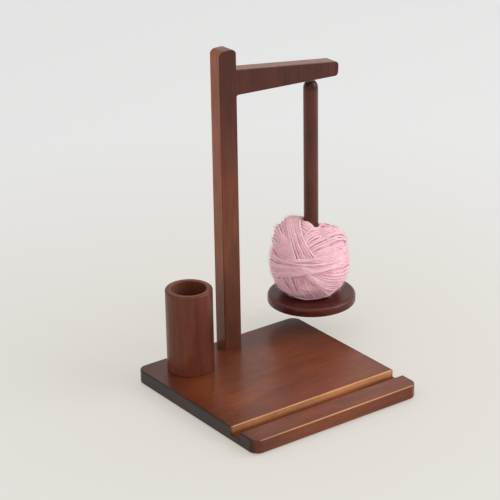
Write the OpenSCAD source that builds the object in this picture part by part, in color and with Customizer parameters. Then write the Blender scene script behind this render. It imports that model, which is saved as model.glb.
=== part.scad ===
// Yarn holder: a wooden stand whose spindle hangs by a steel ball from a magnet under the arm,
// with a slot for a phone along the front and a cup for hooks at the back left.
// Millimetres, +Z up, front towards -Y. The table is z = 0, and the part's box is centred over the origin.

/* [Base board] */
// Width of the board, left to right
base_w = 200; // [180:1:260]
// Depth of the board, front to back
base_d = 201; // [180:1:260]
// Thickness of the board
base_t = 14.25; // [14:0.25:25]
// Radius of the board's corners, seen from above
base_corner_r = 10; // [5:0.5:18]
// Radius of the board's eased edges
base_edge_r = 1.25; // [0.75:0.25:4]

/* [Phone slot] */
// Width of the rail in front of the slot
rail_w = 24.5; // [19:0.5:32]
// Width of the slot
slot_w = 14.5; // [10:0.5:24]
// Depth of the slot, down from the board's top
slot_depth = 8; // [6:0.5:9.5]
// Radius of the slot's eased lips and wall ends
lip_r = 1.25; // [0.5:0.25:2]

/* [Anti-slip pads] */
// Diameter of a pad
pad_d = 16; // [10:1:24]
// Thickness of a pad
pad_t = 1.5; // [1:0.25:4]
// Distance from the board's edges to a pad's middle
pad_inset = 18; // [14:1:30]

/* [Post] */
// Width of the post, left to right
post_w = 20.5; // [18:0.5:30]
// Depth of the post and of the arm, front to back
post_d = 16; // [14:0.5:24]
// Height of the post above the board
post_h = 317.25; // [260:0.25:380]
// Distance of the post's middle to the right of the board's middle
post_x = 3.4; // [-8:0.1:10]
// Distance from the board's back edge to the post's back face
post_back_gap = 7.6; // [4:0.1:20]
// Radius of the post's top corners, seen from the front
post_top_r = 6.5; // [2:0.5:8]
// Radius of the post's eased upright edges
post_edge_r = 1; // [0.5:0.25:2]

/* [Arm] */
// Length of the arm, from the post's side to the tip
arm_len = 125.75; // [115:0.25:160]
// Height of the arm at the post
arm_root_h = 26; // [24:0.5:34]
// Height of the arm at the tip
arm_tip_h = 15; // [12:0.25:18]
// Distance from the post's top down to the arm's top
arm_drop = 21.5; // [12:0.5:40]
// Distance by which the arm's underside falls from the post to the tip
arm_fall = 5.35; // [0:0.05:8]
// Radius of the arm's tip corners, seen from the front
arm_tip_r = 4.5; // [1.5:0.25:5]
// Radius of the arm's eased edges
arm_edge_r = 1; // [0.5:0.25:2.5]
// Radius of the fillet under the arm where it meets the post
arm_fillet_r = 3; // [1:0.25:5]
// Diameter of the dowels between post and arm
dowel_d = 6; // [4:0.5:8]
// Depth of a dowel in the post, and in the arm
dowel_bite = 12; // [8:0.5:14]
// Distance between the two dowels, middle to middle
dowel_pitch = 13; // [10:0.5:14]

/* [Magnetic pivot] */
// Distance from the post's side to the spindle's axis
spindle_reach = 96.75; // [90:0.25:105]
// Diameter of the magnet under the arm
magnet_d = 6; // [5:0.5:6.5]
// Length of the magnet
magnet_h = 7; // [5:0.5:9]
// Height of the magnet that stands below the arm
magnet_proud = 2.5; // [2:0.25:4]
// Diameter of the steel ball
ball_d = 6; // [5.5:0.25:6.5]
// Wall of the seat under the ball
seat_t = 0.55; // [0.4:0.05:0.7]
// Depth of the seat's rim below the ball's middle
seat_drop = 1.6; // [1.2:0.1:2.4]
// Wall of the metal socket round the seat
cap_wall = 0.55; // [0.4:0.05:1]
// Thickness of the metal socket under the seat
cap_floor = 1.9; // [1:0.1:4]
// Height of the metal socket's rim above the ball's middle
cap_rim_lift = 2.5; // [2.45:0.05:2.6]

/* [Spindle] */
// Diameter of the rod
rod_d = 15.2; // [14.5:0.1:20]
// Height of the rod's rounded nose, from its full width to its top
nose_h = 6.85; // [5.5:0.05:9]
// Wall of the rod round the metal socket at the nose's top
nose_wall = 0.4; // [0.3:0.05:1]
// Diameter of the disc
disc_d = 92.5; // [80:0.5:110]
// Thickness of the disc
disc_t = 9.5; // [9:0.25:18]
// Radius of the disc's rounded top edge
disc_top_r = 4; // [1:0.25:5]
// Radius of the disc's eased bottom edge
disc_foot_r = 1; // [0.5:0.25:3]
// Gap between the board and the disc hanging over it
disc_clear = 22.25; // [20:0.25:40]
// Depth of the rod's seat in the disc
rod_seat = 4; // [3:0.5:5]

/* [Tool cup] */
// Outer diameter of the cup
cup_d = 47.5; // [44:0.5:60]
// Diameter of the cup's bore
cup_bore_d = 35.5; // [25:0.5:40]
// Height of the cup
cup_h = 86.75; // [60:0.25:120]
// Thickness of the cup's floor
cup_floor = 8; // [7:0.5:14]
// Distance from the board's left edge to the cup's axis
cup_left_inset = 44; // [34:0.5:52]
// Distance from the board's back edge to the cup's axis
cup_back_inset = 32.75; // [30:0.25:50]
// Radius of the cup's outer rim
cup_rim_r = 2; // [0.5:0.25:2.5]
// Radius of the cup's inner rim
cup_lip_r = 1; // [0.5:0.25:1.5]
// Radius of the cup's foot
cup_foot_r = 0.8; // [0.4:0.1:2]

/* [Wood screws] */
// Diameter of a screw's shank
screw_d = 3.5; // [3:0.25:4]
// Diameter of a screw's countersunk head
screw_head_d = 7; // [6:0.25:8]
// Depth that a screw bites into the post
post_bite = 28; // [20:1:40]
// Distance between the post's two screws
post_screw_pitch = 10; // [9:0.5:11]
// Depth that a screw bites into the cup's floor
cup_bite = 5.5; // [4:0.25:6]
// Distance between the cup's two screws
cup_screw_pitch = 20; // [12:1:24]
// Depth that the disc's screw bites into the rod
disc_bite = 20; // [12:1:30]

/* [Yarn] */
// Diameter of the ball of yarn at its waist
yarn_d = 82.4; // [74:0.1:90]
// Height of the waist above the disc
yarn_waist = 33; // [26:0.5:36]
// Distance by which the ball sits off the spindle's axis
yarn_aside = 1.8; // [0:0.1:4]
// Diameter of the crown
yarn_crown_d = 60; // [50:0.5:66]
// Distance of the crown from the axis
yarn_crown_out = 8.3; // [4:0.1:12]
// Height of the crown's middle above the disc
yarn_crown_z = 49.8; // [44:0.1:54]
// Diameter of the higher shoulder
yarn_high_d = 49.2; // [36:0.1:54]
// Distance of the higher shoulder from the axis
yarn_high_out = 16.7; // [12:0.1:20]
// Height of the higher shoulder's middle above the disc
yarn_high_z = 59; // [48:0.1:62]
// Diameter of the lower shoulder
yarn_low_d = 46.4; // [36:0.1:54]
// Distance of the lower shoulder from the axis
yarn_low_out = 14.2; // [12:0.1:20]
// Height of the lower shoulder's middle above the disc
yarn_low_z = 52.6; // [44:0.1:60]
// Direction of the lower shoulder about the spindle's axis
yarn_turn = -36; // [-180:1:180]

/* [Hidden] */
$fn = 96;
// Gap of a glued or screwed fit, on the radius
fit = 0.05;
// Gap between the ball, its seat and the metal socket
seat_gap = 0.15;
// Gap between pieces that turn or slide past each other
run_gap = 0.2;
// Gap under the ball of yarn, and round the rod in it
rest_gap = 0.3;
// Overrun of a cut past the face that it opens on
over = 1;
// Height of a countersunk head, and length of a screw's point
head_h = 2.2;
point_h = 3;
// Cross in a screw's head
cross_depth = 1.4;
cross_w = 0.9;
cross_len = 3.6;
// Chamfer at a dowel's ends, and spare depth of its holes
dowel_chamfer = 0.8;
dowel_spare = 0.5;

board_top = pad_t + base_t;
slot_y = -base_d / 2 + rail_w;
slot_floor = board_top - slot_depth;

post_top = board_top + post_h;
post_y = base_d / 2 - post_back_gap - post_d / 2;
post_front = post_y - post_d / 2;
post_side = post_x + post_w / 2;

arm_top = post_top - arm_drop;
arm_under = arm_top - arm_root_h;
arm_straight = arm_len - arm_tip_r;
arm_pitch = arm_fall / arm_len;
arm_dip = atan(arm_pitch);
arm_taper = (arm_root_h - arm_tip_h) / arm_len;
arm_slope = atan(arm_taper);
tip_corner_z = arm_root_h - arm_straight * arm_taper - arm_tip_r / cos(arm_slope);
fillet_w = post_d - 2 * arm_edge_r - 2 * rest_gap;
dowel_z = arm_under + arm_root_h / 2;

rod_x = post_side + spindle_reach;
rod_r = rod_d / 2;
magnet_z = arm_under - spindle_reach * arm_pitch - magnet_proud;
ball_r = ball_d / 2;
ball_z = magnet_z - run_gap - ball_r;
seat_in_r = ball_r + seat_gap;
seat_out_r = seat_in_r + seat_t;
seat_rim = ball_z - seat_drop;
socket_r = seat_out_r + seat_gap;
cap_rim_z = ball_z + cap_rim_lift;
plug_r = socket_r + cap_wall;
plug_z = ball_z - socket_r - cap_floor;
nose_z = cap_rim_z - nose_h;
nose_top_r = plug_r + run_gap + nose_wall;
nose_in = rod_r - nose_top_r;
nose_r = (nose_in * nose_in + nose_h * nose_h) / (2 * nose_in);

disc_r = disc_d / 2;
disc_z = board_top + disc_clear;
disc_top = disc_z + disc_t;
rod_foot = disc_top - rod_seat;

cup_x = -base_w / 2 + cup_left_inset;
cup_y = base_d / 2 - cup_back_inset;
cup_r = cup_d / 2;
cup_bore_r = cup_bore_d / 2;

post_screw_len = base_t + post_bite;
cup_screw_len = base_t + cup_bite;
disc_screw_len = disc_t - rod_seat + disc_bite;

yarn_r = yarn_d / 2;
yarn_reach = yarn_r + yarn_aside;

// The part's box reaches from the board to what overhangs it at the right and at the back
load_r = max(disc_r, yarn_reach);
box_mid_x = (max(base_w / 2, rod_x + load_r, post_side + arm_len) - base_w / 2) / 2;
box_mid_y = (max(base_d / 2, post_y + load_r) - base_d / 2) / 2;

walnut = "#6b3a2a";
walnut_dark = "#55302a";
birch = "#d8b98a";
steel = "#b9bcc0";
magnet_grey = "#3a3a3e";
brass = "#b08d4a";
rubber = "#222222";
pink = "#e9b3c3";

// Rectangle from the origin to [w, h] with its four corners eased
module eased_rect(w, h, r) {
    translate([0, r]) square([w, h - 2 * r]);
    translate([r, 0]) square([w - 2 * r, h]);
    for (x = [r, w - r], y = [r, h - r])
        translate([x, y]) circle(r);
}

// Rectangle from the origin to [w, h] with only its two outer corners eased
module eased_half(w, h, r_top, r_foot) {
    translate([0, r_foot]) square([w, h - r_top - r_foot]);
    square([w - r_foot, h - r_top]);
    translate([0, r_foot]) square([w - r_top, h - r_foot]);
    translate([w - r_foot, r_foot]) circle(r_foot);
    translate([w - r_top, h - r_top]) circle(r_top);
}

// Slab centred in plan, with round corners and eased edges all the way round
module eased_slab(w, d, h, corner, edge) {
    translate([-w / 2 + corner, 0, 0])
        rotate([90, 0, 90])
            linear_extrude(w - 2 * corner)
                translate([-d / 2, 0]) eased_rect(d, h, edge);
    for (side = [0, 1])
        mirror([side, 0, 0]) {
            translate([w / 2 - corner, d / 2 - corner, 0])
                rotate([90, 0, 0])
                    linear_extrude(d - 2 * corner) eased_half(corner, h, edge, edge);
            for (end = [0, 1])
                mirror([0, end, 0])
                    translate([w / 2 - corner, d / 2 - corner, 0])
                        rotate_extrude(angle = 90) eased_half(corner, h, edge, edge);
        }
}

// Slot from the origin to [w, depth], whose mouth at the top flares out by r on both sides
module flared_slot(w, depth, r) {
    square([w, depth + over]);
    difference() {
        translate([-r, depth - r]) square([w + 2 * r, r + over]);
        for (x = [-r, w + r])
            translate([x, depth - r]) circle(r);
    }
}

// Countersunk wood screw that stands on its head, with a cross in the head
module wood_screw(length) {
    shank = screw_d / 2;
    difference() {
        rotate_extrude()
            polygon([[0, 0], [screw_head_d / 2, 0], [shank, head_h], [shank, length - point_h], [0, length]]);
        for (turn = [0, 90])
            rotate([0, 0, turn])
                translate([-cross_len / 2, -cross_w / 2, -over])
                    cube([cross_len, cross_w, cross_depth + over]);
    }
}

// Hole for that screw, open below its head
module screw_hole(length) {
    shank = screw_d / 2 + fit;
    head = screw_head_d / 2 + fit;
    rotate_extrude()
        polygon([
            [0, -over], [head, -over], [head, 0], [shank, head_h],
            [shank, length - point_h], [0, length + fit]
        ]);
}

// Places of the screws and dowels, shared by the pieces and by their holes
module at_post_screw(side) {
    translate([post_x + side * post_screw_pitch / 2, post_y, pad_t]) children();
}

module at_cup_screw(side) {
    translate([cup_x + side * cup_screw_pitch / 2, cup_y, pad_t]) children();
}

module at_disc_screw() {
    translate([rod_x, post_y, disc_z]) children();
}

module at_dowel(level) {
    translate([post_side, post_y, dowel_z + level * dowel_pitch / 2])
        rotate([0, 90, 0]) children();
}

module dowel_hole(level) {
    at_dowel(level)
        cylinder(h = 2 * (dowel_bite + dowel_spare), r = dowel_d / 2 + fit, center = true);
}

// Pieces turned about the spindle's axis are drawn at their own height
module on_axis() {
    translate([rod_x, post_y, 0]) children();
}

module base_board() {
    color(walnut)
        difference() {
            translate([0, 0, pad_t])
                eased_slab(base_w, base_d, base_t, base_corner_r, base_edge_r);
            // The slot runs from end to end, with eased lips
            translate([-base_w / 2 - over, slot_y, slot_floor])
                rotate([90, 0, 90])
                    linear_extrude(base_w + 2 * over) flared_slot(slot_w, slot_depth, lip_r);
            // Its walls are eased at both ends
            for (side = [0, 1])
                mirror([side, 0, 0])
                    translate([base_w / 2 - 2 * lip_r, slot_y + slot_w, slot_floor])
                        rotate([0, 0, -90])
                            linear_extrude(slot_depth + over) flared_slot(slot_w, 2 * lip_r, lip_r);
            for (side = [-1, 1]) {
                at_post_screw(side) screw_hole(post_screw_len);
                at_cup_screw(side) screw_hole(cup_screw_len);
            }
        }
}

module anti_slip_pad(side, end) {
    color(rubber)
        translate([side * (base_w / 2 - pad_inset), end * (base_d / 2 - pad_inset), 0])
            cylinder(h = pad_t, r = pad_d / 2);
}

module post() {
    color(walnut)
        difference() {
            union() {
                intersection() {
                    translate([post_x - post_w / 2, post_front, board_top])
                        linear_extrude(post_h) eased_rect(post_w, post_d, post_edge_r);
                    translate([post_x - post_w / 2, post_y + post_d, board_top - post_top_r])
                        rotate([90, 0, 0])
                            linear_extrude(2 * post_d) eased_rect(post_w, post_h + post_top_r, post_top_r);
                }
                // The upright edges stay square where the arm meets the post
                translate([post_side - 2 * post_edge_r, post_front, arm_under])
                    cube([2 * post_edge_r, post_d, arm_root_h]);
            }
            for (side = [-1, 1]) {
                at_post_screw(side) screw_hole(post_screw_len);
                dowel_hole(side);
            }
        }
}

module post_screw(side) {
    color(steel)
        at_post_screw(side) wood_screw(post_screw_len);
}

// Outline of the arm's tip seen from the front, as if the underside were level, with two round corners.
// It stands a little proud of the underside and of the sloping top.
module arm_outline() {
    polygon([
        [-arm_root_h, -fit], [arm_straight, -fit], [arm_len, arm_tip_r - fit], [arm_len, tip_corner_z + fit],
        [arm_straight + arm_tip_r * sin(arm_slope), tip_corner_z + fit + arm_tip_r * cos(arm_slope)],
        [-arm_root_h, arm_root_h + arm_root_h * arm_taper + fit]
    ]);
    translate([arm_straight, arm_tip_r - fit]) circle(arm_tip_r);
    translate([arm_straight, tip_corner_z + fit]) circle(arm_tip_r);
}

// Long slab along the arm with eased edges
module arm_slab(depth) {
    translate([-arm_len, 0, 0])
        rotate([90, 0, 90])
            linear_extrude(3 * arm_len)
                translate([-depth / 2, 0]) eased_rect(depth, 2 * arm_root_h, arm_edge_r);
}

// The arm with its edges eased along its underside and along its sloping top
module arm_blank() {
    intersection() {
        intersection() {
            translate([0, post_d, 0])
                rotate([90, 0, 0])
                    linear_extrude(2 * post_d) arm_outline();
            arm_slab(post_d);
        }
        translate([0, 0, arm_root_h])
            rotate([0, arm_slope, 0])
                translate([0, 0, -2 * arm_root_h]) arm_slab(post_d + 2 * fit);
    }
}

module arm() {
    color(walnut_dark)
        difference() {
            union() {
                // It falls a little towards its tip, and is cut off at the post's side
                intersection() {
                    translate([post_side, post_y - post_d, arm_under - arm_root_h])
                        cube([2 * arm_len, 2 * post_d, 3 * arm_root_h]);
                    translate([post_side, post_y, arm_under])
                        rotate([0, arm_dip, 0]) arm_blank();
                }
                // A fillet eases the corner under it at the post
                translate([post_side, post_y + fillet_w / 2, arm_under - arm_fillet_r])
                    rotate([90, 0, 0])
                        linear_extrude(fillet_w)
                            difference() {
                                square([arm_fillet_r + rest_gap, arm_fillet_r + over]);
                                translate([arm_fillet_r + rest_gap, 0]) circle(arm_fillet_r);
                            }
            }
            for (level = [-1, 1])
                dowel_hole(level);
            on_axis()
                translate([0, 0, magnet_z]) cylinder(h = magnet_h + fit, r = magnet_d / 2 + fit);
        }
}

module arm_dowel(level) {
    r = dowel_d / 2;
    length = 2 * dowel_bite;
    color(birch)
        at_dowel(level)
            translate([0, 0, -dowel_bite])
                rotate_extrude()
                    polygon([
                        [0, 0], [r - dowel_chamfer, 0], [r, dowel_chamfer],
                        [r, length - dowel_chamfer], [r - dowel_chamfer, length], [0, length]
                    ]);
}

module arm_magnet() {
    color(magnet_grey)
        on_axis()
            translate([0, 0, magnet_z]) cylinder(h = magnet_h, r = magnet_d / 2);
}

module pivot_ball() {
    color(steel)
        on_axis()
            translate([0, 0, ball_z]) sphere(ball_r);
}

// Thin bowl round the ball's lower half
module ball_seat() {
    color(brass)
        on_axis()
            rotate_extrude()
                difference() {
                    intersection() {
                        translate([0, ball_z]) circle(seat_out_r);
                        translate([0, ball_z - socket_r]) square([socket_r, socket_r - seat_drop]);
                    }
                    translate([0, ball_z]) circle(seat_in_r);
                }
}

// Metal socket in the rod's nose, whose rim keeps the ball in
module rod_cap() {
    color(steel)
        on_axis()
            rotate_extrude()
                difference() {
                    translate([0, plug_z]) square([plug_r, cap_rim_z - plug_z]);
                    translate([0, ball_z]) circle(socket_r);
                }
}

module spindle_rod() {
    color(walnut)
        difference() {
            on_axis()
                rotate_extrude() {
                    // The nose is round from the rod's full width up to its top
                    intersection() {
                        translate([rod_r - nose_r, nose_z]) circle(nose_r);
                        translate([0, nose_z]) square([rod_r, nose_h]);
                    }
                    translate([0, rod_foot]) square([rod_r, nose_z - rod_foot]);
                }
            on_axis()
                translate([0, 0, plug_z - run_gap])
                    cylinder(h = cap_rim_z - plug_z + over, r = plug_r + run_gap);
            at_disc_screw() screw_hole(disc_screw_len);
        }
}

module spindle_disc() {
    color(walnut)
        difference() {
            on_axis()
                translate([0, 0, disc_z])
                    rotate_extrude() eased_half(disc_r, disc_t, disc_top_r, disc_foot_r);
            on_axis()
                translate([0, 0, rod_foot]) cylinder(h = rod_seat + over, r = rod_r + fit);
            at_disc_screw() screw_hole(disc_screw_len);
        }
}

module disc_screw() {
    color(steel)
        at_disc_screw() wood_screw(disc_screw_len);
}

// Bore of the cup from its floor up, with an eased mouth
module cup_bore_half() {
    depth = cup_h - cup_floor;
    square([cup_bore_r, depth + over]);
    difference() {
        translate([0, depth - cup_lip_r]) square([cup_bore_r + cup_lip_r, cup_lip_r + over]);
        translate([cup_bore_r + cup_lip_r, depth - cup_lip_r]) circle(cup_lip_r);
    }
}

module tool_cup() {
    color(walnut)
        difference() {
            translate([cup_x, cup_y, board_top])
                rotate_extrude()
                    difference() {
                        eased_half(cup_r, cup_h, cup_rim_r, cup_foot_r);
                        translate([0, cup_floor]) cup_bore_half();
                    }
            for (side = [-1, 1])
                at_cup_screw(side) screw_hole(cup_screw_len);
        }
}

module cup_screw(side) {
    color(steel)
        at_cup_screw(side) wood_screw(cup_screw_len);
}

// Ball of wound yarn, pressed flat on the disc, with a crown and two shoulders beside the rod
module yarn_ball() {
    color(pink)
        on_axis()
            translate([0, 0, disc_top])
                difference() {
                    rotate([0, 0, yarn_turn]) {
                        translate([-yarn_aside, 0, 0])
                            rotate_extrude()
                                intersection() {
                                    translate([0, yarn_waist]) circle(yarn_r);
                                    translate([0, rest_gap]) square([yarn_d, 2 * yarn_d]);
                                }
                        translate([-yarn_crown_out, 0, yarn_crown_z]) sphere(yarn_crown_d / 2);
                        translate([-yarn_high_out, 0, yarn_high_z]) sphere(yarn_high_d / 2);
                        translate([yarn_low_out, 0, yarn_low_z]) sphere(yarn_low_d / 2);
                    }
                    cylinder(h = 2 * yarn_d, r = rod_r + rest_gap);
                }
}

// The model is drawn round the board's middle and then set with its box over the origin
module on_table() {
    translate([-box_mid_x, -box_mid_y, 0]) children();
}

on_table() base_board();
on_table() anti_slip_pad(-1, -1);  // pad_front_left
on_table() anti_slip_pad(1, -1);  // pad_front_right
on_table() anti_slip_pad(-1, 1);  // pad_back_left
on_table() anti_slip_pad(1, 1);  // pad_back_right
on_table() post();
on_table() post_screw(-1);  // post_screw_left
on_table() post_screw(1);  // post_screw_right
on_table() arm();
on_table() arm_dowel(1);  // arm_dowel_upper
on_table() arm_dowel(-1);  // arm_dowel_lower
on_table() arm_magnet();
on_table() pivot_ball();
on_table() ball_seat();
on_table() rod_cap();
on_table() spindle_rod();
on_table() spindle_disc();
on_table() disc_screw();
on_table() tool_cup();
on_table() cup_screw(-1);  // cup_screw_left
on_table() cup_screw(1);  // cup_screw_right
on_table() yarn_ball();
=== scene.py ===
import math

import bpy
import numpy as np
from mathutils import Matrix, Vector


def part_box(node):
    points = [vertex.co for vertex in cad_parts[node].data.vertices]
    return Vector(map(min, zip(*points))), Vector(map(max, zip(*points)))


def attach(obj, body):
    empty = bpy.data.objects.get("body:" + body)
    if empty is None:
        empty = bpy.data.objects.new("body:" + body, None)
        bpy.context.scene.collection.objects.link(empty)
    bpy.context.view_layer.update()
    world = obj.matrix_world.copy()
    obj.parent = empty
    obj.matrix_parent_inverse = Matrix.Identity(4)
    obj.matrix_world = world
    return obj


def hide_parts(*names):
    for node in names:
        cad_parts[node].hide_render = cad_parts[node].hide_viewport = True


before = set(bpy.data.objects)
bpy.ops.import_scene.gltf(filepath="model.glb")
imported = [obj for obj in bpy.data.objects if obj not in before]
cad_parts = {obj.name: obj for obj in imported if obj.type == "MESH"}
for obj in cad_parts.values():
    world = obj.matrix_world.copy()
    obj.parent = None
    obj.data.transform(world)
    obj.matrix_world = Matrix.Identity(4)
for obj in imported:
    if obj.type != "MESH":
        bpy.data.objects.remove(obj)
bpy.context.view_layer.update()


# Camera. A long lens looks down at the stand from its front left corner, two metres away. Its place is
# given from the middle of the board's underside, and its turn as a heading, a dip and a slight lean.
CAMERA_OFFSET = (-1.0832, -1.4596, 0.9174)
CAMERA_HEADING = math.radians(35.828)
CAMERA_DIP = math.radians(22.890)
CAMERA_LEAN = math.radians(-0.952)
CAMERA_LENS = 146.65
CAMERA_SENSOR = 36.0


def corners(node):
    """Lowest and highest corner of a piece of the frame."""
    return [np.array(corner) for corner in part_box(node)]


def stand_at(thing, place, right, up, ahead):
    """Puts a camera or a lamp at a place, turned by its right, its up and the way that it looks."""
    turn = Matrix([right, up, -ahead]).transposed().to_4x4()
    thing.matrix_world = Matrix.Translation(place) @ turn
    bpy.context.scene.collection.objects.link(thing)


board_low, board_high = corners("base_board")
board_mid = (board_low + board_high) / 2
board_foot = np.array([board_mid[0], board_mid[1], board_low[2]])
camera_place = board_foot + np.array(CAMERA_OFFSET)

camera_ahead = np.array([
    math.sin(CAMERA_HEADING) * math.cos(CAMERA_DIP),
    math.cos(CAMERA_HEADING) * math.cos(CAMERA_DIP),
    -math.sin(CAMERA_DIP),
])
level_right = np.array([math.cos(CAMERA_HEADING), -math.sin(CAMERA_HEADING), 0.0])
level_up = np.cross(level_right, camera_ahead)
camera_right = math.cos(CAMERA_LEAN) * level_right + math.sin(CAMERA_LEAN) * level_up
camera_up = np.cross(camera_right, camera_ahead)

camera_data = bpy.data.cameras.new("photo_camera")
camera_data.lens = CAMERA_LENS
camera_data.sensor_width = CAMERA_SENSOR
camera = bpy.data.objects.new("photo_camera", camera_data)
stand_at(camera, camera_place, camera_right, camera_up, camera_ahead)
bpy.context.scene.camera = camera


# Base board. A square panel of glued hardwood staves, stained dark and lacquered to a soft shine. The grain
# runs from left to right, so the two ends drink more stain. The slot's back wall is pale bare wood, brightened
# further by painted light against the shade of the slot. A painted highlight runs along the rail's front top
# edge, the top has painted shade at the back, and the board is darker towards its left end and towards the
# right end of the rail's front face.
BLACK = (0, 0, 0, 1)
WHITE = (1, 1, 1, 1)

GRAIN_STRETCH = 0.045
FIGURE_STRETCH = 0.4
STREAK_SCALE = 480.0
CLOUD_SCALE = 42.0
PORE_SCALE = 1900.0
WOOD_NOISE_ROUGHNESS = 0.6
STREAK_BEND = 0.5
STREAK_SPAN = (0.22, 0.8)
CLOUD_SPAN = (0.28, 0.72)
CLOUD_DEEP = (0.68, 0.67, 0.68, 1)
CLOUD_PALE = (1.2, 1.19, 1.17, 1)
PORE_SPAN = (0.6, 0.72)
PORE_STAIN = (0.62, 0.6, 0.6, 1)
DULL_SPAN = (0.4, 0.75)
LACQUER_ROUGHNESS = 0.3
PORE_ROUGHNESS = 0.44
PORE_STRENGTH = 0.12
PORE_DENT = 0.0003

END_GRAIN = (0.19, 0.27, 0.33, 1.0)
END_GRAIN_SKIN = (0.0030, 0.0003)
# Bare wood and painted light: the slot's back wall is lifted far brighter, against the shade of the slot.
BARE_WALL_AND_LIGHT = (3.4, 6.4, 7.6, 1.0)
SLOT_WALL_IN = 0.039
SLOT_DEPTH = 0.008
SLOT_WALL_SKIN = (0.0002, 0.0001)
SLOT_WALL_FOOT = 0.001
SLOT_WALL_RISE = 0.004
SLOT_LIP = 0.00125
SLOT_LIP_EASED = 0.7 * SLOT_LIP
# Painted highlight along the rail's front top edge.
EDGE_HIGHLIGHT = (3.0, 5.2, 6.6, 1.0)
HIGHLIGHT_IN = (0.0014, 0.0008)
HIGHLIGHT_DOWN = (0.0012, 0.0006)
# Painted shade at the back of the top; the same tint also darkens the board towards its left end and the rail's
# front face towards its right end.
DARKENING_AND_SHADE = (0.62, 0.56, 0.52, 1.0)
BACK_SHADE_SPAN = (0.02, 0.08)
LEFT_DARKENING_REACH = 0.03
RAIL_DARKENING_START = 0.03
RAIL_FACE_SKIN = (0.0005, 0.0002)


def screen(red, green, blue):
    """Linear colour of an 8-bit screen colour, by the plain 2.2 power."""
    return tuple((value / 255) ** 2.2 for value in (red, green, blue)) + (1.0,)


def new_finish(name):
    """Empty node material with its principled shader, as (material, tree, shader)."""
    finish = bpy.data.materials.new(name)
    finish.use_nodes = True
    tree = finish.node_tree
    return finish, tree, tree.nodes["Principled BSDF"]


def feed(tree, inputs, values):
    """Links each of the inputs from a socket, or sets it to a value."""
    for key, value in values.items():
        if isinstance(value, bpy.types.NodeSocket):
            tree.links.new(value, inputs[key])
        else:
            inputs[key].default_value = value


def add(tree, kind, values=None, **settings):
    """New node of that kind, with its settings and with its inputs fed."""
    made = tree.nodes.new("ShaderNode" + kind)
    for key, value in settings.items():
        setattr(made, key, value)
    feed(tree, made.inputs, values or {})
    return made


def own_place(tree):
    """Place on the piece, in metres."""
    return add(tree, "TexCoord").outputs["Object"]


def noise(tree, where, scale, detail, roughness=0.5, distortion=0.0):
    """Noise from 0 to 1, with so many grains to the metre."""
    values = {"Vector": where, "Scale": scale, "Detail": detail, "Roughness": roughness, "Distortion": distortion}
    return add(tree, "TexNoise", values).outputs["Fac"]


def reckon(tree, how, *values):
    """Result of one step of reckoning, such as a product or a cosine, on one or two values."""
    return add(tree, "Math", dict(enumerate(values)), operation=how).outputs[0]


def slide(tree, source, start, end, first=0.0, last=1.0):
    """Value that runs from first to last while the source goes from start to end."""
    values = {"Value": source, "From Min": start, "From Max": end, "To Min": first, "To Max": last}
    return add(tree, "MapRange", values).outputs[0]


def ramp(tree, source, low, high, first=BLACK, last=WHITE):
    """Colour that runs from first to last while the source goes from low to high."""
    made = add(tree, "ValToRGB", {"Fac": source})
    made.color_ramp.elements[0].position = low
    made.color_ramp.elements[0].color = first
    made.color_ramp.elements[1].position = high
    made.color_ramp.elements[1].color = last
    return made.outputs["Color"]


def blend(tree, amount, first, second, how="MIX"):
    """Two colours joined: by an amount of the second over the first, or as their product."""
    made = add(tree, "Mix", data_type="RGBA", blend_type=how, clamp_factor=True)
    feed(tree, made.inputs, {0: amount, 6: first, 7: second})
    return made.outputs[2]


def tinted(tree, share, colour, tint):
    """Colour that is multiplied by a tint, to the given share."""
    return blend(tree, share, colour, blend(tree, 1.0, colour, tint, "MULTIPLY"))


def bumped(tree, height, strength, distance):
    """Normal of a surface that is dented by a height."""
    return add(tree, "Bump", {"Height": height, "Strength": strength, "Distance": distance}).outputs[0]


def wear_finish(node, finish):
    """Puts a finish on a carried-over piece of the frame."""
    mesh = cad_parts[node].data
    mesh.materials.clear()
    mesh.materials.append(finish)


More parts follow.
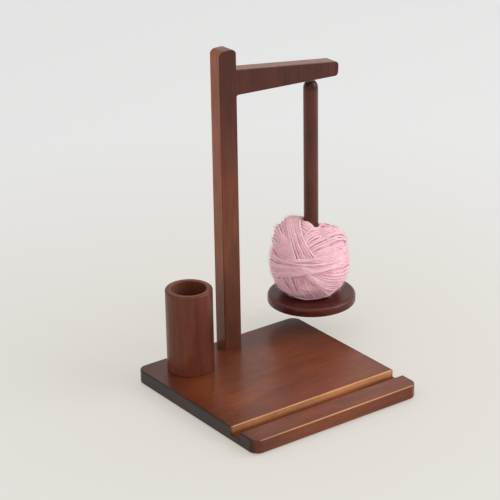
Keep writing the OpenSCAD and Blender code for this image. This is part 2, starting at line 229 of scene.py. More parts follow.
def stained_wood(name, grain_axis, pale, deep, shift, coat, zones=(), turned_about=(0.0, 0.0)):
    """Stained and lacquered hardwood: streaks and pores are noise drawn out along the grain, over a slow
    cloudiness of the stain. The pores dent the surface and dull the lacquer. A zone is a tint and its ramps
    (axis, from, to): the tint comes in as the place goes from one to the other on each axis, where axis R is
    the distance from the upright axis that the piece is turned about."""
    finish, tree, shader = new_finish(name)
    place = own_place(tree)

    def drawn_out(stretch):
        scale = [1.0, 1.0, 1.0]
        scale["XYZ".index(grain_axis)] = stretch
        values = {"Vector": place, "Location": (shift, shift, shift), "Scale": scale}
        return add(tree, "Mapping", values).outputs[0]

    streaks = noise(
        tree, drawn_out(GRAIN_STRETCH), STREAK_SCALE, detail=6.0,
        roughness=WOOD_NOISE_ROUGHNESS, distortion=STREAK_BEND)
    clouds = noise(tree, drawn_out(FIGURE_STRETCH), CLOUD_SCALE, detail=4.0, roughness=WOOD_NOISE_ROUGHNESS)
    pores = noise(tree, drawn_out(GRAIN_STRETCH), PORE_SCALE, detail=2.0, roughness=WOOD_NOISE_ROUGHNESS)
    colour = blend(tree, ramp(tree, streaks, *STREAK_SPAN), deep, pale)
    colour = blend(tree, 1.0, colour, ramp(tree, clouds, *CLOUD_SPAN, CLOUD_DEEP, CLOUD_PALE), "MULTIPLY")
    colour = blend(tree, 1.0, colour, ramp(tree, pores, *PORE_SPAN, WHITE, PORE_STAIN), "MULTIPLY")

    sides = add(tree, "SeparateXYZ", {0: place}).outputs
    measures = {axis: sides[axis] for axis in "XYZ"}
    aside = add(tree, "VectorMath", {0: place, 1: (*turned_about, 0)}, operation="SUBTRACT").outputs[0]
    aside = add(tree, "VectorMath", {0: aside, 1: (1, 1, 0)}, operation="MULTIPLY").outputs[0]
    measures["R"] = add(tree, "VectorMath", {0: aside}, operation="LENGTH").outputs["Value"]
    for tint, ramps in zones:
        share = 1.0
        for axis, start, end in ramps:
            share = reckon(tree, "MULTIPLY", share, slide(tree, measures[axis], start, end))
        colour = tinted(tree, share, colour, tint)

    feed(tree, shader.inputs, {
        "Base Color": colour,
        "Roughness": slide(tree, pores, *DULL_SPAN, LACQUER_ROUGHNESS, PORE_ROUGHNESS),
        "Normal": bumped(tree, reckon(tree, "SUBTRACT", streaks, pores), PORE_STRENGTH, PORE_DENT),
        "Specular IOR Level": 0.18,
        "Coat IOR": 1.4,
        "Coat Weight": coat,
        "Coat Roughness": 0.24,
    })
    return finish


wall_y = board_low[1] + SLOT_WALL_IN
slot_floor = board_high[2] - SLOT_DEPTH
board_zones = (
    (END_GRAIN, (("X", board_low[0] + END_GRAIN_SKIN[0], board_low[0] + END_GRAIN_SKIN[1]),)),
    (END_GRAIN, (("X", board_high[0] - END_GRAIN_SKIN[0], board_high[0] - END_GRAIN_SKIN[1]),)),
    # Bare wood and painted light on the slot's back wall.
    (BARE_WALL_AND_LIGHT, (
        ("Y", wall_y - SLOT_WALL_SKIN[0], wall_y - SLOT_WALL_SKIN[1]),
        ("Y", wall_y + SLOT_LIP, wall_y + SLOT_LIP_EASED),
        ("Z", slot_floor - SLOT_WALL_FOOT, slot_floor + SLOT_WALL_RISE),
    )),
    # Painted highlight on the rail's front top edge.
    (EDGE_HIGHLIGHT, (
        ("Y", board_low[1] + HIGHLIGHT_IN[0], board_low[1] + HIGHLIGHT_IN[1]),
        ("Z", board_high[2] - HIGHLIGHT_DOWN[0], board_high[2] - HIGHLIGHT_DOWN[1]),
    )),
    # Painted shade at the back of the top.
    (DARKENING_AND_SHADE, (("Y", board_mid[1] + BACK_SHADE_SPAN[0], board_mid[1] + BACK_SHADE_SPAN[1]),)),
    # Darker towards the left end.
    (DARKENING_AND_SHADE, (("X", board_low[0] + LEFT_DARKENING_REACH, board_low[0]),)),
    # Darker towards the right end of the rail's front face.
    (DARKENING_AND_SHADE, (
        ("X", board_mid[0] + RAIL_DARKENING_START, board_high[0]),
        ("Y", board_low[1] + RAIL_FACE_SKIN[0], board_low[1] + RAIL_FACE_SKIN[1]),
    )),
)
wear_finish("base_board", stained_wood(
    "walnut_board", "X", screen(134, 73, 46), screen(112, 58, 35), shift=0.0, coat=0.4, zones=board_zones))


# Anti-slip pads. Four black rubber discs, cut from sheet and stuck under the board's corners.
# They lift the board off the table by their own thickness.
PAD_GRIT = 1400.0
MOTTLE_SPAN = (0.3, 0.7)

pad_rubber, pad_tree, pad_shader = new_finish("pad_rubber")
pad_grit = noise(pad_tree, own_place(pad_tree), PAD_GRIT, detail=2.0)
feed(pad_tree, pad_shader.inputs, {
    "Base Color": ramp(pad_tree, pad_grit, *MOTTLE_SPAN, screen(20, 20, 20), screen(38, 37, 36)),
    "Normal": bumped(pad_tree, pad_grit, strength=0.3, distance=0.0002),
    "Roughness": 0.85,
})
for pad in ("pad_front_left", "pad_front_right", "pad_back_left", "pad_back_right"):
    wear_finish(pad, pad_rubber)


# Post. An upright batten of the same hardwood, rounded at its top, glued and screwed to the board from below.
# Its sawn sides and its top are brightened by painted light, its front has painted shade towards the top,
# its foot has painted shade, and its very top is darker again, which takes back part of that painted light.
# Painted light on the post's sides and top.
PAINTED_SIDE_LIGHT = (1.5, 1.62, 1.68, 1.0)
# Painted shade on the post's front, towards the top.
FRONT_SHADE = (0.42, 0.32, 0.38, 1.0)
# Painted shade at the post's foot.
FOOT_SHADE = (0.66, 0.68, 0.8, 1.0)
# Darker on the very top, taking back part of the painted side light there.
TOP_DIMMING = (0.75, 0.74, 0.74, 1.0)
FRONT_SHADE_SPAN = (0.20, 0.05)
FOOT_SHADE_SPAN = (0.11, 0.03)
TOP_SKIN = (0.0015, 0.0003)
FACE_SKIN = 0.0003
FACE_CORE = 0.0009


def between_faces(low, high):
    """Ramps of a zone that leaves out a piece's front and back face."""
    return (
        ("Y", low[1] + FACE_SKIN, low[1] + FACE_CORE),
        ("Y", high[1] - FACE_SKIN, high[1] - FACE_CORE),
    )


post_low, post_high = corners("post")
post_zones = (
    # Painted light on the sides and top.
    (PAINTED_SIDE_LIGHT, between_faces(post_low, post_high)),
    # Painted shade on the front towards the top.
    (FRONT_SHADE, (
        ("Z", post_high[2] - FRONT_SHADE_SPAN[0], post_high[2] - FRONT_SHADE_SPAN[1]),
        ("Y", post_low[1] + FACE_CORE, post_low[1] + FACE_SKIN),
    )),
    # Painted shade at the foot.
    (FOOT_SHADE, (("Z", post_low[2] + FOOT_SHADE_SPAN[0], post_low[2] + FOOT_SHADE_SPAN[1]),)),
    # Darker on the very top.
    (TOP_DIMMING, (("Z", post_high[2] - TOP_SKIN[0], post_high[2] - TOP_SKIN[1]),)),
)
wear_finish("post", stained_wood(
    "walnut_post", "Z", screen(134, 77, 51), screen(101, 54, 36), shift=0.37, coat=0.3, zones=post_zones))


# Wood screws. Zinc-plated countersunk screws with a cross in the head, driven in from below: two hold the
# post, two hold the cup, and one holds the rod in the disc.
MOTTLED_SHINE = (0.7, 1.3)


def plated_metal(name, pale, deep, roughness, grit):
    """Plated metal: a fine noise mottles its colour and its shine."""
    finish, tree, shader = new_finish(name)
    mottle = noise(tree, own_place(tree), grit, detail=4.0)
    feed(tree, shader.inputs, {
        "Base Color": ramp(tree, mottle, *MOTTLE_SPAN, deep, pale),
        "Roughness": slide(tree, mottle, 0.0, 1.0, *(roughness * part for part in MOTTLED_SHINE)),
        "Metallic": 1.0,
    })
    return finish


screw_zinc = plated_metal("screw_zinc", screen(205, 202, 192), screen(160, 156, 146), roughness=0.32, grit=900.0)
for screw in ("post_screw_left", "post_screw_right", "disc_screw", "cup_screw_left", "cup_screw_right"):
    wear_finish(screw, screw_zinc)


# Arm. A tapered bracket of the same hardwood, dowelled and glued to the post and sanded flush with it.
# Its grain stands upright as the post's does, its top, underside and tip carry a painted highlight, and it is
# darker towards its tip.
# Painted highlight on the arm's top, underside and tip.
ARM_HIGHLIGHT = (3.1, 5.5, 6.9, 1.0)
# Darker towards the tip.
TIP_DARKENING = (0.66, 0.58, 0.56, 1.0)
TIP_REACH = 0.006

arm_low, arm_high = corners("arm")
arm_zones = (
    # Darker towards the tip.
    (TIP_DARKENING, (("X", arm_high[0] - TIP_REACH, arm_high[0]),)),
    # Painted highlight on the top, underside and tip.
    (ARM_HIGHLIGHT, between_faces(arm_low, arm_high)),
)
wear_finish("arm", stained_wood(
    "walnut_arm", "Z", screen(96, 49, 37), screen(66, 30, 23), shift=0.71, coat=0.3, zones=arm_zones))


# Dowels. Two plain birch dowels, glued into both pieces.
# They are hidden in the joint between arm and post.
dowel_birch = stained_wood("birch_dowel", "X", screen(222, 192, 150), screen(198, 164, 118), shift=0.15, coat=0.2)
for dowel in ("arm_dowel_upper", "arm_dowel_lower"):
    wear_finish(dowel, dowel_birch)


# Magnetic pivot. A nickel-plated magnet set in the arm, a polished steel ball that clings to it,
# a thin brass seat under the ball and a dark metal socket in the rod's nose round them.
# The magnet's nickel is coloured dark: painted shade for the narrow gap under the arm.
wear_finish("arm_magnet", plated_metal(
    "magnet_nickel", screen(124, 116, 100), screen(80, 75, 65), roughness=0.16, grit=700.0))
wear_finish("pivot_ball", plated_metal(
    "ball_steel", screen(208, 208, 206), screen(190, 190, 188), roughness=0.12, grit=400.0))
wear_finish("ball_seat", plated_metal(
    "seat_brass", screen(196, 160, 92), screen(166, 130, 68), roughness=0.3, grit=800.0))
wear_finish("rod_cap", plated_metal(
    "cap_dark_nickel", screen(120, 110, 92), screen(84, 76, 62), roughness=0.34, grit=900.0))


# Spindle rod. A turned hardwood rod, glued and screwed into the disc.
# Its rounded nose holds the metal socket and has painted shade under the arm.
# Painted shade on the rod's nose, under the arm.
NOSE_SHADE = (0.42, 0.4, 0.4, 1.0)
NOSE_SHADE_SPAN = (0.010, 0.005)

rod_low, rod_high = corners("spindle_rod")
rod_r = (rod_high[0] - rod_low[0]) / 2
rod_mid = (rod_low + rod_high)[:2] / 2
rod_zones = ((NOSE_SHADE, (("Z", rod_high[2] - NOSE_SHADE_SPAN[0], rod_high[2] - NOSE_SHADE_SPAN[1]),)),)
wear_finish("spindle_rod", stained_wood(
    "walnut_rod", "Z", screen(108, 59, 44), screen(76, 39, 29), shift=1.13, coat=0.34, zones=rod_zones))


# Spindle disc. A turned hardwood disc, screwed to the rod, which carries the ball of yarn.
# A painted highlight runs round its rounded top edge.
# Painted highlight on the disc's rounded top edge.
DISC_HIGHLIGHT = (1.5, 2.0, 2.3, 1.0)
DISC_HIGHLIGHT_FOOT = (0.0030, 0.0012)
DISC_HIGHLIGHT_TOP = (0.0001, 0.0008)

disc_top = corners("spindle_disc")[1][2]
disc_zones = (
    (DISC_HIGHLIGHT, (
        ("Z", disc_top - DISC_HIGHLIGHT_FOOT[0], disc_top - DISC_HIGHLIGHT_FOOT[1]),
        ("Z", disc_top - DISC_HIGHLIGHT_TOP[0], disc_top - DISC_HIGHLIGHT_TOP[1]),
    )),
)
wear_finish("spindle_disc", stained_wood(
    "walnut_disc", "X", screen(98, 47, 36), screen(70, 31, 24), shift=1.57, coat=0.28, zones=disc_zones))


# Tool cup. A turned and bored hardwood cup for hooks, screwed to the board from below.
# Its bore has painted light on its left inner wall, and the outside has painted shade towards its left and
# right edges.
# Painted light on the bore's left inner wall.
BORE_LIGHT = (1.5, 2.3, 3.0, 1.0)
# Painted shade towards the outside's right edge.
RIGHT_EDGE_SHADE = (0.72, 0.62, 0.55, 1.0)
# Painted shade towards the outside's left edge.
LEFT_EDGE_SHADE = (0.8, 0.86, 0.9, 1.0)
BORE_SKIN = 0.0180
BORE_BEHIND = 0.0184
BORE_RIGHT = 0.012
BORE_LEFT = 0.008
SIDE_SPAN = (0.008, 0.021)
SIDE_DEPTH = 0.014

cup_low, cup_high = corners("tool_cup")
cup_mid = (cup_low + cup_high)[:2] / 2
cup_zones = (
    # Painted light on the bore's left inner wall.
    (BORE_LIGHT, (
        ("R", BORE_BEHIND, BORE_SKIN),
        ("X", cup_mid[0] + BORE_RIGHT, cup_mid[0] - BORE_LEFT),
    )),
    # Painted shade towards the right edge.
    (RIGHT_EDGE_SHADE, (
        ("X", cup_mid[0] + SIDE_SPAN[0], cup_mid[0] + SIDE_SPAN[1]),
        ("Y", cup_mid[1], cup_mid[1] - SIDE_DEPTH),
        ("R", BORE_SKIN, BORE_BEHIND),
    )),
    # Painted shade towards the left edge.
    (LEFT_EDGE_SHADE, (
        ("X", cup_mid[0] - SIDE_SPAN[0], cup_mid[0] - SIDE_SPAN[1]),
        ("Y", cup_mid[1], cup_mid[1] + SIDE_DEPTH),
        ("R", BORE_SKIN, BORE_BEHIND),
    )),
)
wear_finish("tool_cup", stained_wood(
    "walnut_cup", "Z", screen(118, 64, 46), screen(94, 49, 34), shift=2.03, coat=0.2,
    zones=cup_zones, turned_about=cup_mid))


# Core of the ball of yarn. The wool deep inside, round the rod, which is only seen between the strands.
# It has the ball's own form: a round body with rises on both sides of the rod, flat where it rests on the disc.
WAIST_RISE = 0.0329
BODY_R = 0.0412
BALL_ASIDE = -0.0018
REST_GAP = 0.0003
LEAST_DIP = 0.05
NO_FLOOR = 1.0
# Radius of each rounded rise of the ball's top, and its middle: across, towards the camera, above the disc.
RISES = (
    (0.0246, -0.0149, 0.0, 0.0590),
    (0.0232, 0.0160, 0.0, 0.0527),
    (0.0290, -0.0070, 0.0040, 0.0500),
    (0.0120, -0.0070, 0.0085, 0.0718),
)
CORE_INSET = 0.0040
CORE_ROWS = 72
CORE_COLUMNS = 120
CORE_TOP = 0.27
CORE_FOOT = 0.36
LOOSE_SCALE = 420.0

ball_mid = np.append(rod_mid, disc_top + WAIST_RISE) + BALL_ASIDE * level_right
level_near = np.array([level_right[1], -level_right[0], 0.0])


def ball_reach(heading):
    """Radius of the wound ball along unit headings: the farthest of a round body and rounded rises beside
    the rod, cut off where the ball rests on the disc."""
    rise = heading[..., 2]
    reach = np.full(rise.shape, BODY_R)
    for radius, across, near, height in RISES:
        middle = across * level_right + near * level_near + np.array([0, 0, height - WAIST_RISE])
        along = heading @ middle
        inside = along ** 2 - middle @ middle + radius ** 2
        far = along + np.sqrt(np.maximum(inside, 0))
        reach = np.where((inside > 0) & (far > reach), far, reach)
    floor = np.where(rise < -LEAST_DIP, (WAIST_RISE - REST_GAP) / np.maximum(-rise, LEAST_DIP), NO_FLOOR)
    return np.minimum(reach, floor)


def smooth_piece(name, points, faces):
    """Piece at the origin with these points and faces, shaded smooth."""
    mesh = bpy.data.meshes.new(name)
    mesh.from_pydata(points.reshape(-1, 3).tolist(), [], faces)
    mesh.polygons.foreach_set("use_smooth", np.ones(len(mesh.polygons), bool))
    piece = bpy.data.objects.new(name, mesh)
    bpy.context.scene.collection.objects.link(piece)
    return piece


def core_mesh(name):
    """Inside of the ball: rows of headings from beside the rod at the top to beside it at the foot, each at
    the ball's reach less an inset, pushed clear of the rod. The last row joins the first by a wall round
    the rod."""
    fall = np.linspace(CORE_TOP, math.pi - CORE_FOOT, CORE_ROWS)[:, None]
    turn = np.linspace(0, 2 * math.pi, CORE_COLUMNS, endpoint=False)[None]
    heading = np.stack([np.sin(fall) * np.cos(turn), np.sin(fall) * np.sin(turn), np.cos(fall) + 0 * turn], -1)
    points = ball_mid + heading * (ball_reach(heading) - CORE_INSET)[..., None]
    off_rod = points[..., :2] - rod_mid
    gap = np.linalg.norm(off_rod, axis=2, keepdims=True)
    points[..., :2] = rod_mid + off_rod * np.maximum(1, (rod_r + 2 * REST_GAP) / gap)
    points[..., 2] = np.maximum(points[..., 2], disc_top + REST_GAP)
    row = np.arange(CORE_ROWS)[:, None] * CORE_COLUMNS
    below = np.roll(np.arange(CORE_ROWS), -1)[:, None] * CORE_COLUMNS
    column = np.arange(CORE_COLUMNS)[None]
    after = (column + 1) % CORE_COLUMNS
    faces = np.stack([row + column, below + column, below + after, row + after], -1)
    return smooth_piece(name, points, faces.reshape(-1, 4).tolist())


def loose_wool(name, deep, pale):
    """Wool with no strand to be seen: a fine mottle from a deeper to a paler pink."""
    finish, tree, shader = new_finish(name)
    tone = noise(tree, own_place(tree), LOOSE_SCALE, detail=5.0)
    feed(tree, shader.inputs, {"Base Color": ramp(tree, tone, *MOTTLE_SPAN, deep, pale), "Roughness": 0.95})
    return finish


def wear_wool(piece, wool):
    """Puts its wool on a piece of the ball, which stands for the solid ball and moves with the yarn."""
    piece.data.materials.append(wool)
    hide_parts("yarn_ball")
    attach(piece, "yarn")


core_wool = loose_wool("pink_wool_inside", screen(232, 168, 181), screen(248, 196, 206))
wear_wool(core_mesh("yarn_core"), core_wool)


# Strands of the ball of yarn. One soft plied strand, wound by hand in bundles that cross each other: three
# coils all over, turns round the rod and over both shoulders, steep turns below, a belt round the waist
# and one last turn round the foot, all clear of the rod.
STRAND_R = 0.00127
TURN_POINTS = 300

# Grid that holds how high the strands are piled, and how a strand beds down on it.
PILE_ROWS = 181
PILE_COLUMNS = 360
ACROSS_STRAND = np.linspace(-0.9, 0.9, 7)[:, None]
BEDDING = 0.7
SPAN_POINTS = (9, 5)
EASE_POINTS = 4
LAID_EASE_POINTS = 3

# Waver of a bundle, the edges of the band that it shows in, and how far it dives under the rest beyond them.
SWAY_BEATS = (1.3, 2.7, 5.1)
SWAY_SHARE = 0.2
RING_LIMIT = 0.97
BAND_EDGE = 0.12
FACE_EDGE = 0.25
SHOWING_EASE_POINTS = 5
TUCK_RATE = 8
DIVE = 3 * STRAND_R
SLACK = 0.5 * STRAND_R
EVERYWHERE = (-2, 2)

COLLAR_TURNS = 6
COLLAR_WIDTH = 13 * STRAND_R
COLLAR_RIGHT = 0.006
COLLAR_FADE = 0.004
COLLAR_DIVE = 4

FACE_ROUNDS = 16
COLLAR_ROUNDS = 12
ROD_POWER = 8
TINY = 1e-6

# How the pile draws together: the width it is smoothed over, the share of its depth that is kept,
# how deep an outer strand lies, how far one may stand out or be buried, and the points it is read at.
SETTLE_SPREAD = 0.11
SETTLE_KEEP = 0.6
SETTLE_SINK = 1.35
SETTLE_PROUD = 1.2
SETTLE_BURIED = 3.2
SETTLE_POINTS = 2600

STRAND_SIDES = 8
PLY_COUNT = 3
PLY_PITCH = 0.011
PLY_DEPTH = 0.07
FLATNESS = 0.96

WOOL_DEEP = screen(254, 199, 208)
WOOL_PALE = screen(255, 216, 222)
TONE_SCALE = 120.0
FIBRE_SCALE = 2600.0
GROOVE_SHADE = 0.9
GROOVE_SPAN = (-1.0, 0.2)
# Painted shade on each strand's flanks.
FLANK_SHADE = (0.86, 0.69, 0.74, 1)
FLANK_SHADE_SPAN = (0.7, -0.1)
# Painted shade where strands lie deep in the ball.
BURIED_SHADE = (0.89, 0.76, 0.79, 1)
BURIED_SHADE_SPAN = (0.0006, 0.0036)
# Painted shade low on the ball, on strands that don't stand out.
LOW_SHADE = (0.76, 0.62, 0.67, 1)
LOW_SHADE_SPAN = (0.021, 0.007)
SUNK_SHADE_SPAN = (-0.0001, 0.0006)
SHEEN_TINT = (1.0, 0.82, 0.86, 1.0)

# The ball as it faces the camera: across to its right, up its face, and out of its face.
ball_out = camera_place - ball_mid
ball_out = ball_out / np.linalg.norm(ball_out)
ball_across = level_right
ball_up = np.cross(ball_out, ball_across)
least_off_rod = rod_r + STRAND_R + REST_GAP


def on_face(across, up):
    """Heading of the point that is seen at those shares of the waist's radius across and up the ball's face:
    the point of a round ball there, with the shares divided, time after time, by how far the ball swells."""
    shares = (across, up)
    for _ in range(FACE_ROUNDS):
        out = math.sqrt(max(0.0, 1.0 - shares[0] ** 2 - shares[1] ** 2))
        heading = shares[0] * ball_across + shares[1] * ball_up + out * ball_out
        heading = heading / np.linalg.norm(heading)
        swell = float(ball_reach(heading)) / BODY_R
        shares = (across / swell, up / swell)
    return heading


def clear_of_rod(heading):
    """Headings led round the rod: a place's distance from the rod's axis becomes the eighth root of the sum
    of its own eighth power and that of the least distance."""
    place = heading * ball_reach(heading)[:, None]
    off_rod = place[:, :2] + ball_mid[:2] - rod_mid
    gap = np.maximum(np.linalg.norm(off_rod, axis=1), TINY)
    led = (gap ** ROD_POWER + least_off_rod ** ROD_POWER) ** (1 / ROD_POWER)
    place[:, :2] += off_rod * (led / gap - 1)[:, None]
    return place / np.linalg.norm(place, axis=1, keepdims=True)


pile = np.zeros((PILE_ROWS, PILE_COLUMNS))


def cell_of(heading):
    """Row and column of the pile's grid for unit headings: the fall from the top, and the turn about the
    upright axis, each in steps of the grid."""
    row = np.rint(np.arccos(np.clip(heading[..., 2], -1, 1)) / math.pi * (PILE_ROWS - 1)).astype(int)
    turn = np.arctan2(heading[..., 1], heading[..., 0]) / (2 * math.pi)
    column = np.rint(turn * PILE_COLUMNS).astype(int) % PILE_COLUMNS
    return row, column


def running_mean(values, half):
    """Mean of each value and so many neighbours on either side, with the end values repeated."""
    padded = np.concatenate([np.repeat(values[:1], half), values, np.repeat(values[-1:], half)])
    return np.convolve(padded, np.ones(2 * half + 1) / (2 * half + 1), "valid")


def lay_turn(heading, showing):
    """Lays one turn on the pile along its headings and returns the height of the strand's middle. It rests
    halfway between the highest and the mean of what it crosses, spans the dips between by running means,
    and raises the pile by its own round back where it shows."""
    ahead = np.gradient(heading, axis=0)
    aside = np.cross(heading, ahead)
    aside /= np.linalg.norm(aside, axis=1, keepdims=True)
    lifts = np.sqrt(1 - ACROSS_STRAND ** 2) * STRAND_R
    beside = heading[None] + aside[None] * (ACROSS_STRAND * STRAND_R / BODY_R)[..., None]
    beside /= np.linalg.norm(beside, axis=2, keepdims=True)
    row, column = cell_of(beside)
    under = pile[row, column] + lifts * BEDDING
    middle = 0.5 * under.max(0) + 0.5 * under.mean(0)
    for half in SPAN_POINTS:
        middle = np.maximum(middle, running_mean(middle, half))
    middle = running_mean(middle, EASE_POINTS)
    np.maximum.at(pile, (row, column), (middle[None] + lifts) * (showing > 0.5))
    return middle


def lay_turns(heading, showing, turns):
    """Lays a bundle turn by turn and returns the height of its middle, eased where one turn meets the next."""
    parts = zip(np.split(heading, turns), np.split(showing, turns))
    return running_mean(np.concatenate([lay_turn(part, there) for part, there in parts]), LAID_EASE_POINTS)


def circle_through(points):
    """Axis of the circles on the unit ball through three headings each, which is square to two of their
    chords, and the circles' heights along it."""
    a, b, c = points
    axis = np.cross(b - a, c - a)
    axis /= np.linalg.norm(axis, axis=1, keepdims=True)
    return axis, (axis * a).sum(1)


def wind(turns, first, last, waver, band, seed):
    """One bundle: a strand that winds round and round on the circle through three points of the face, while
    these drift from the first turn's to the last turn's. On the face it shows in a band between two shares
    of the radius up the face, and dives under the others beyond. A single turn lies slack on the rest.
    Returns its headings and its heights on the pile."""
    draw = np.random.default_rng(seed)
    share = np.linspace(0, 1, turns * TURN_POINTS)
    angle = share * turns * 2 * math.pi
    drift = share + np.interp(share * turns, np.arange(turns + 1), draw.normal(0, waver, turns + 1))
    points = []
    for start, end in zip(first, last):
        point = (1 - drift)[:, None] * on_face(*start) + drift[:, None] * on_face(*end)
        points.append(point / np.linalg.norm(point, axis=1, keepdims=True))
    axis, height = circle_through(points)
    for beats in SWAY_BEATS:
        sway = np.sin(beats * angle / 2 + draw.uniform(0, 2 * math.pi))
        height = height + SWAY_SHARE * waver / beats * sway
    height = np.clip(height, -RING_LIMIT, RING_LIMIT)
    east = np.cross(axis, points[1])
    east /= np.linalg.norm(east, axis=1, keepdims=True)
    north = np.cross(axis, east)
    ring = np.sqrt(1 - height ** 2)
    heading = (ring * np.cos(angle))[:, None] * east + (ring * np.sin(angle))[:, None] * north
    heading = clear_of_rod(heading + height[:, None] * axis)
    up = heading @ ball_up * ball_reach(heading) / BODY_R
    inside = np.clip(np.minimum(up - band[0], band[1] - up) / BAND_EDGE + 0.5, 0, 1)
    front = np.clip(heading @ ball_out / FACE_EDGE, 0, 1)
    showing = running_mean(1 - front * (1 - inside), SHOWING_EASE_POINTS)
    laid = lay_turns(heading, showing, turns)
    tucked = np.minimum(showing, np.minimum(share, share[::-1]) * turns * TUCK_RATE)
    return heading, laid - (1 - tucked) * DIVE + (turns == 1) * SLACK


def wind_collar(turns, inner, outer):
    """Bundle round the rod on the ball's top: a flat spiral about the rod's axis from the inner radius to the
    outer, lifted to where the ball reaches, which dives under on the right.
    Returns its headings and its heights on the pile."""
    share = np.linspace(0, 1, turns * TURN_POINTS)
    angle = share * turns * 2 * math.pi
    radius = inner + share * (outer - inner)
    place = np.stack([radius * np.cos(angle), radius * np.sin(angle), np.full(len(share), BODY_R)], -1)
    place[:, :2] += rod_mid - ball_mid[:2]
    for _ in range(COLLAR_ROUNDS):
        heading = place / np.linalg.norm(place, axis=1, keepdims=True)
        place[:, 2] = heading[:, 2] * ball_reach(heading)
    rightward = radius * (np.cos(angle) * level_right[0] + np.sin(angle) * level_right[1])
    showing = np.clip((COLLAR_RIGHT - rightward) / COLLAR_FADE, 0, 1)
    laid = lay_turns(heading, showing, turns)
    return heading, laid - (1 - showing) * COLLAR_DIVE * STRAND_R


def settle(heading, height, spread, pile_there):
    """Middle line of a strand once the wound ball has drawn together. Its depth under the smoothed pile
    becomes its depth under the ball's surface, and it keeps clear of the rod and of the disc."""
    near = np.exp((heading @ spread.T - 1) / SETTLE_SPREAD ** 2)
    smooth = (near @ pile_there) / near.sum(1)
    depth = np.clip(smooth - height, -SETTLE_PROUD * STRAND_R, SETTLE_BURIED * STRAND_R)
    reach = ball_reach(heading) - SETTLE_SINK * STRAND_R - SETTLE_KEEP * depth
    line = ball_mid + heading * reach[:, None]
    off_rod = line[:, :2] - rod_mid
    line[:, :2] = rod_mid + off_rod * np.maximum(1, least_off_rod / np.linalg.norm(off_rod, axis=1))[:, None]
    line[:, 2] = np.maximum(line[:, 2], disc_top + STRAND_R + REST_GAP)
    return line


def strand_mesh(name, line, outward):
    """Plied strand along a middle line: a ring of sides at every point, pressed flat by the winding, whose
    radius swells and dips with the plies as they twist along the line. Its UV map holds twists along, and
    the share of a turn around, and its attribute holds each point's depth under the ball's surface."""
    ahead = np.gradient(line, axis=0)
    step = np.linalg.norm(ahead, axis=1, keepdims=True)
    ahead = ahead / step
    out = outward - (outward * ahead).sum(1, keepdims=True) * ahead
    out /= np.linalg.norm(out, axis=1, keepdims=True)
    aside = np.cross(ahead, out)
    twists = np.cumsum(step[:, 0]) / PLY_PITCH
    turn_share = np.arange(STRAND_SIDES) / STRAND_SIDES
    angle = turn_share * 2 * math.pi
    radius = STRAND_R * (1 + PLY_DEPTH * np.cos(PLY_COUNT * angle[None] - 2 * math.pi * twists[:, None]))
    points = line[:, None] + radius[..., None] * (
        FLATNESS * np.cos(angle)[None, :, None] * out[:, None]
        + np.sin(angle)[None, :, None] / FLATNESS * aside[:, None]
    )
    count = len(line)
    ring = np.arange(count - 1)[:, None] * STRAND_SIDES
    side = np.arange(STRAND_SIDES)[None]
    after = (side + 1) % STRAND_SIDES
    quads = np.stack([ring + side, ring + after, ring + STRAND_SIDES + after, ring + STRAND_SIDES + side], -1)
    first_cap = np.arange(STRAND_SIDES)[::-1]
    last_cap = first_cap[::-1] + (count - 1) * STRAND_SIDES
    faces = quads.reshape(-1, 4).tolist() + [first_cap.tolist(), last_cap.tolist()]
    piece = smooth_piece(name, points, faces)

    along = np.stack([twists[:-1], twists[:-1], twists[1:], twists[1:]], -1)[:, None, :]
    around = np.stack([turn_share, turn_share + 1 / STRAND_SIDES], -1)[:, [0, 1, 1, 0]]
    uv = np.stack(np.broadcast_arrays(along, around[None]), -1).reshape(-1, 2)
    cap_uv = np.zeros((2 * STRAND_SIDES, 2))
    layer = piece.data.uv_layers.new(name="strand")
    layer.data.foreach_set("uv", np.concatenate([uv, cap_uv]).ravel())

    from_mid = points.reshape(-1, 3) - ball_mid
    far = np.linalg.norm(from_mid, axis=1)
    depth = ball_reach(from_mid / far[:, None]) - far
    depths = piece.data.attributes.new("depth", "FLOAT", "POINT")
    depths.data.foreach_set("value", depth.astype(np.float32))
    return piece


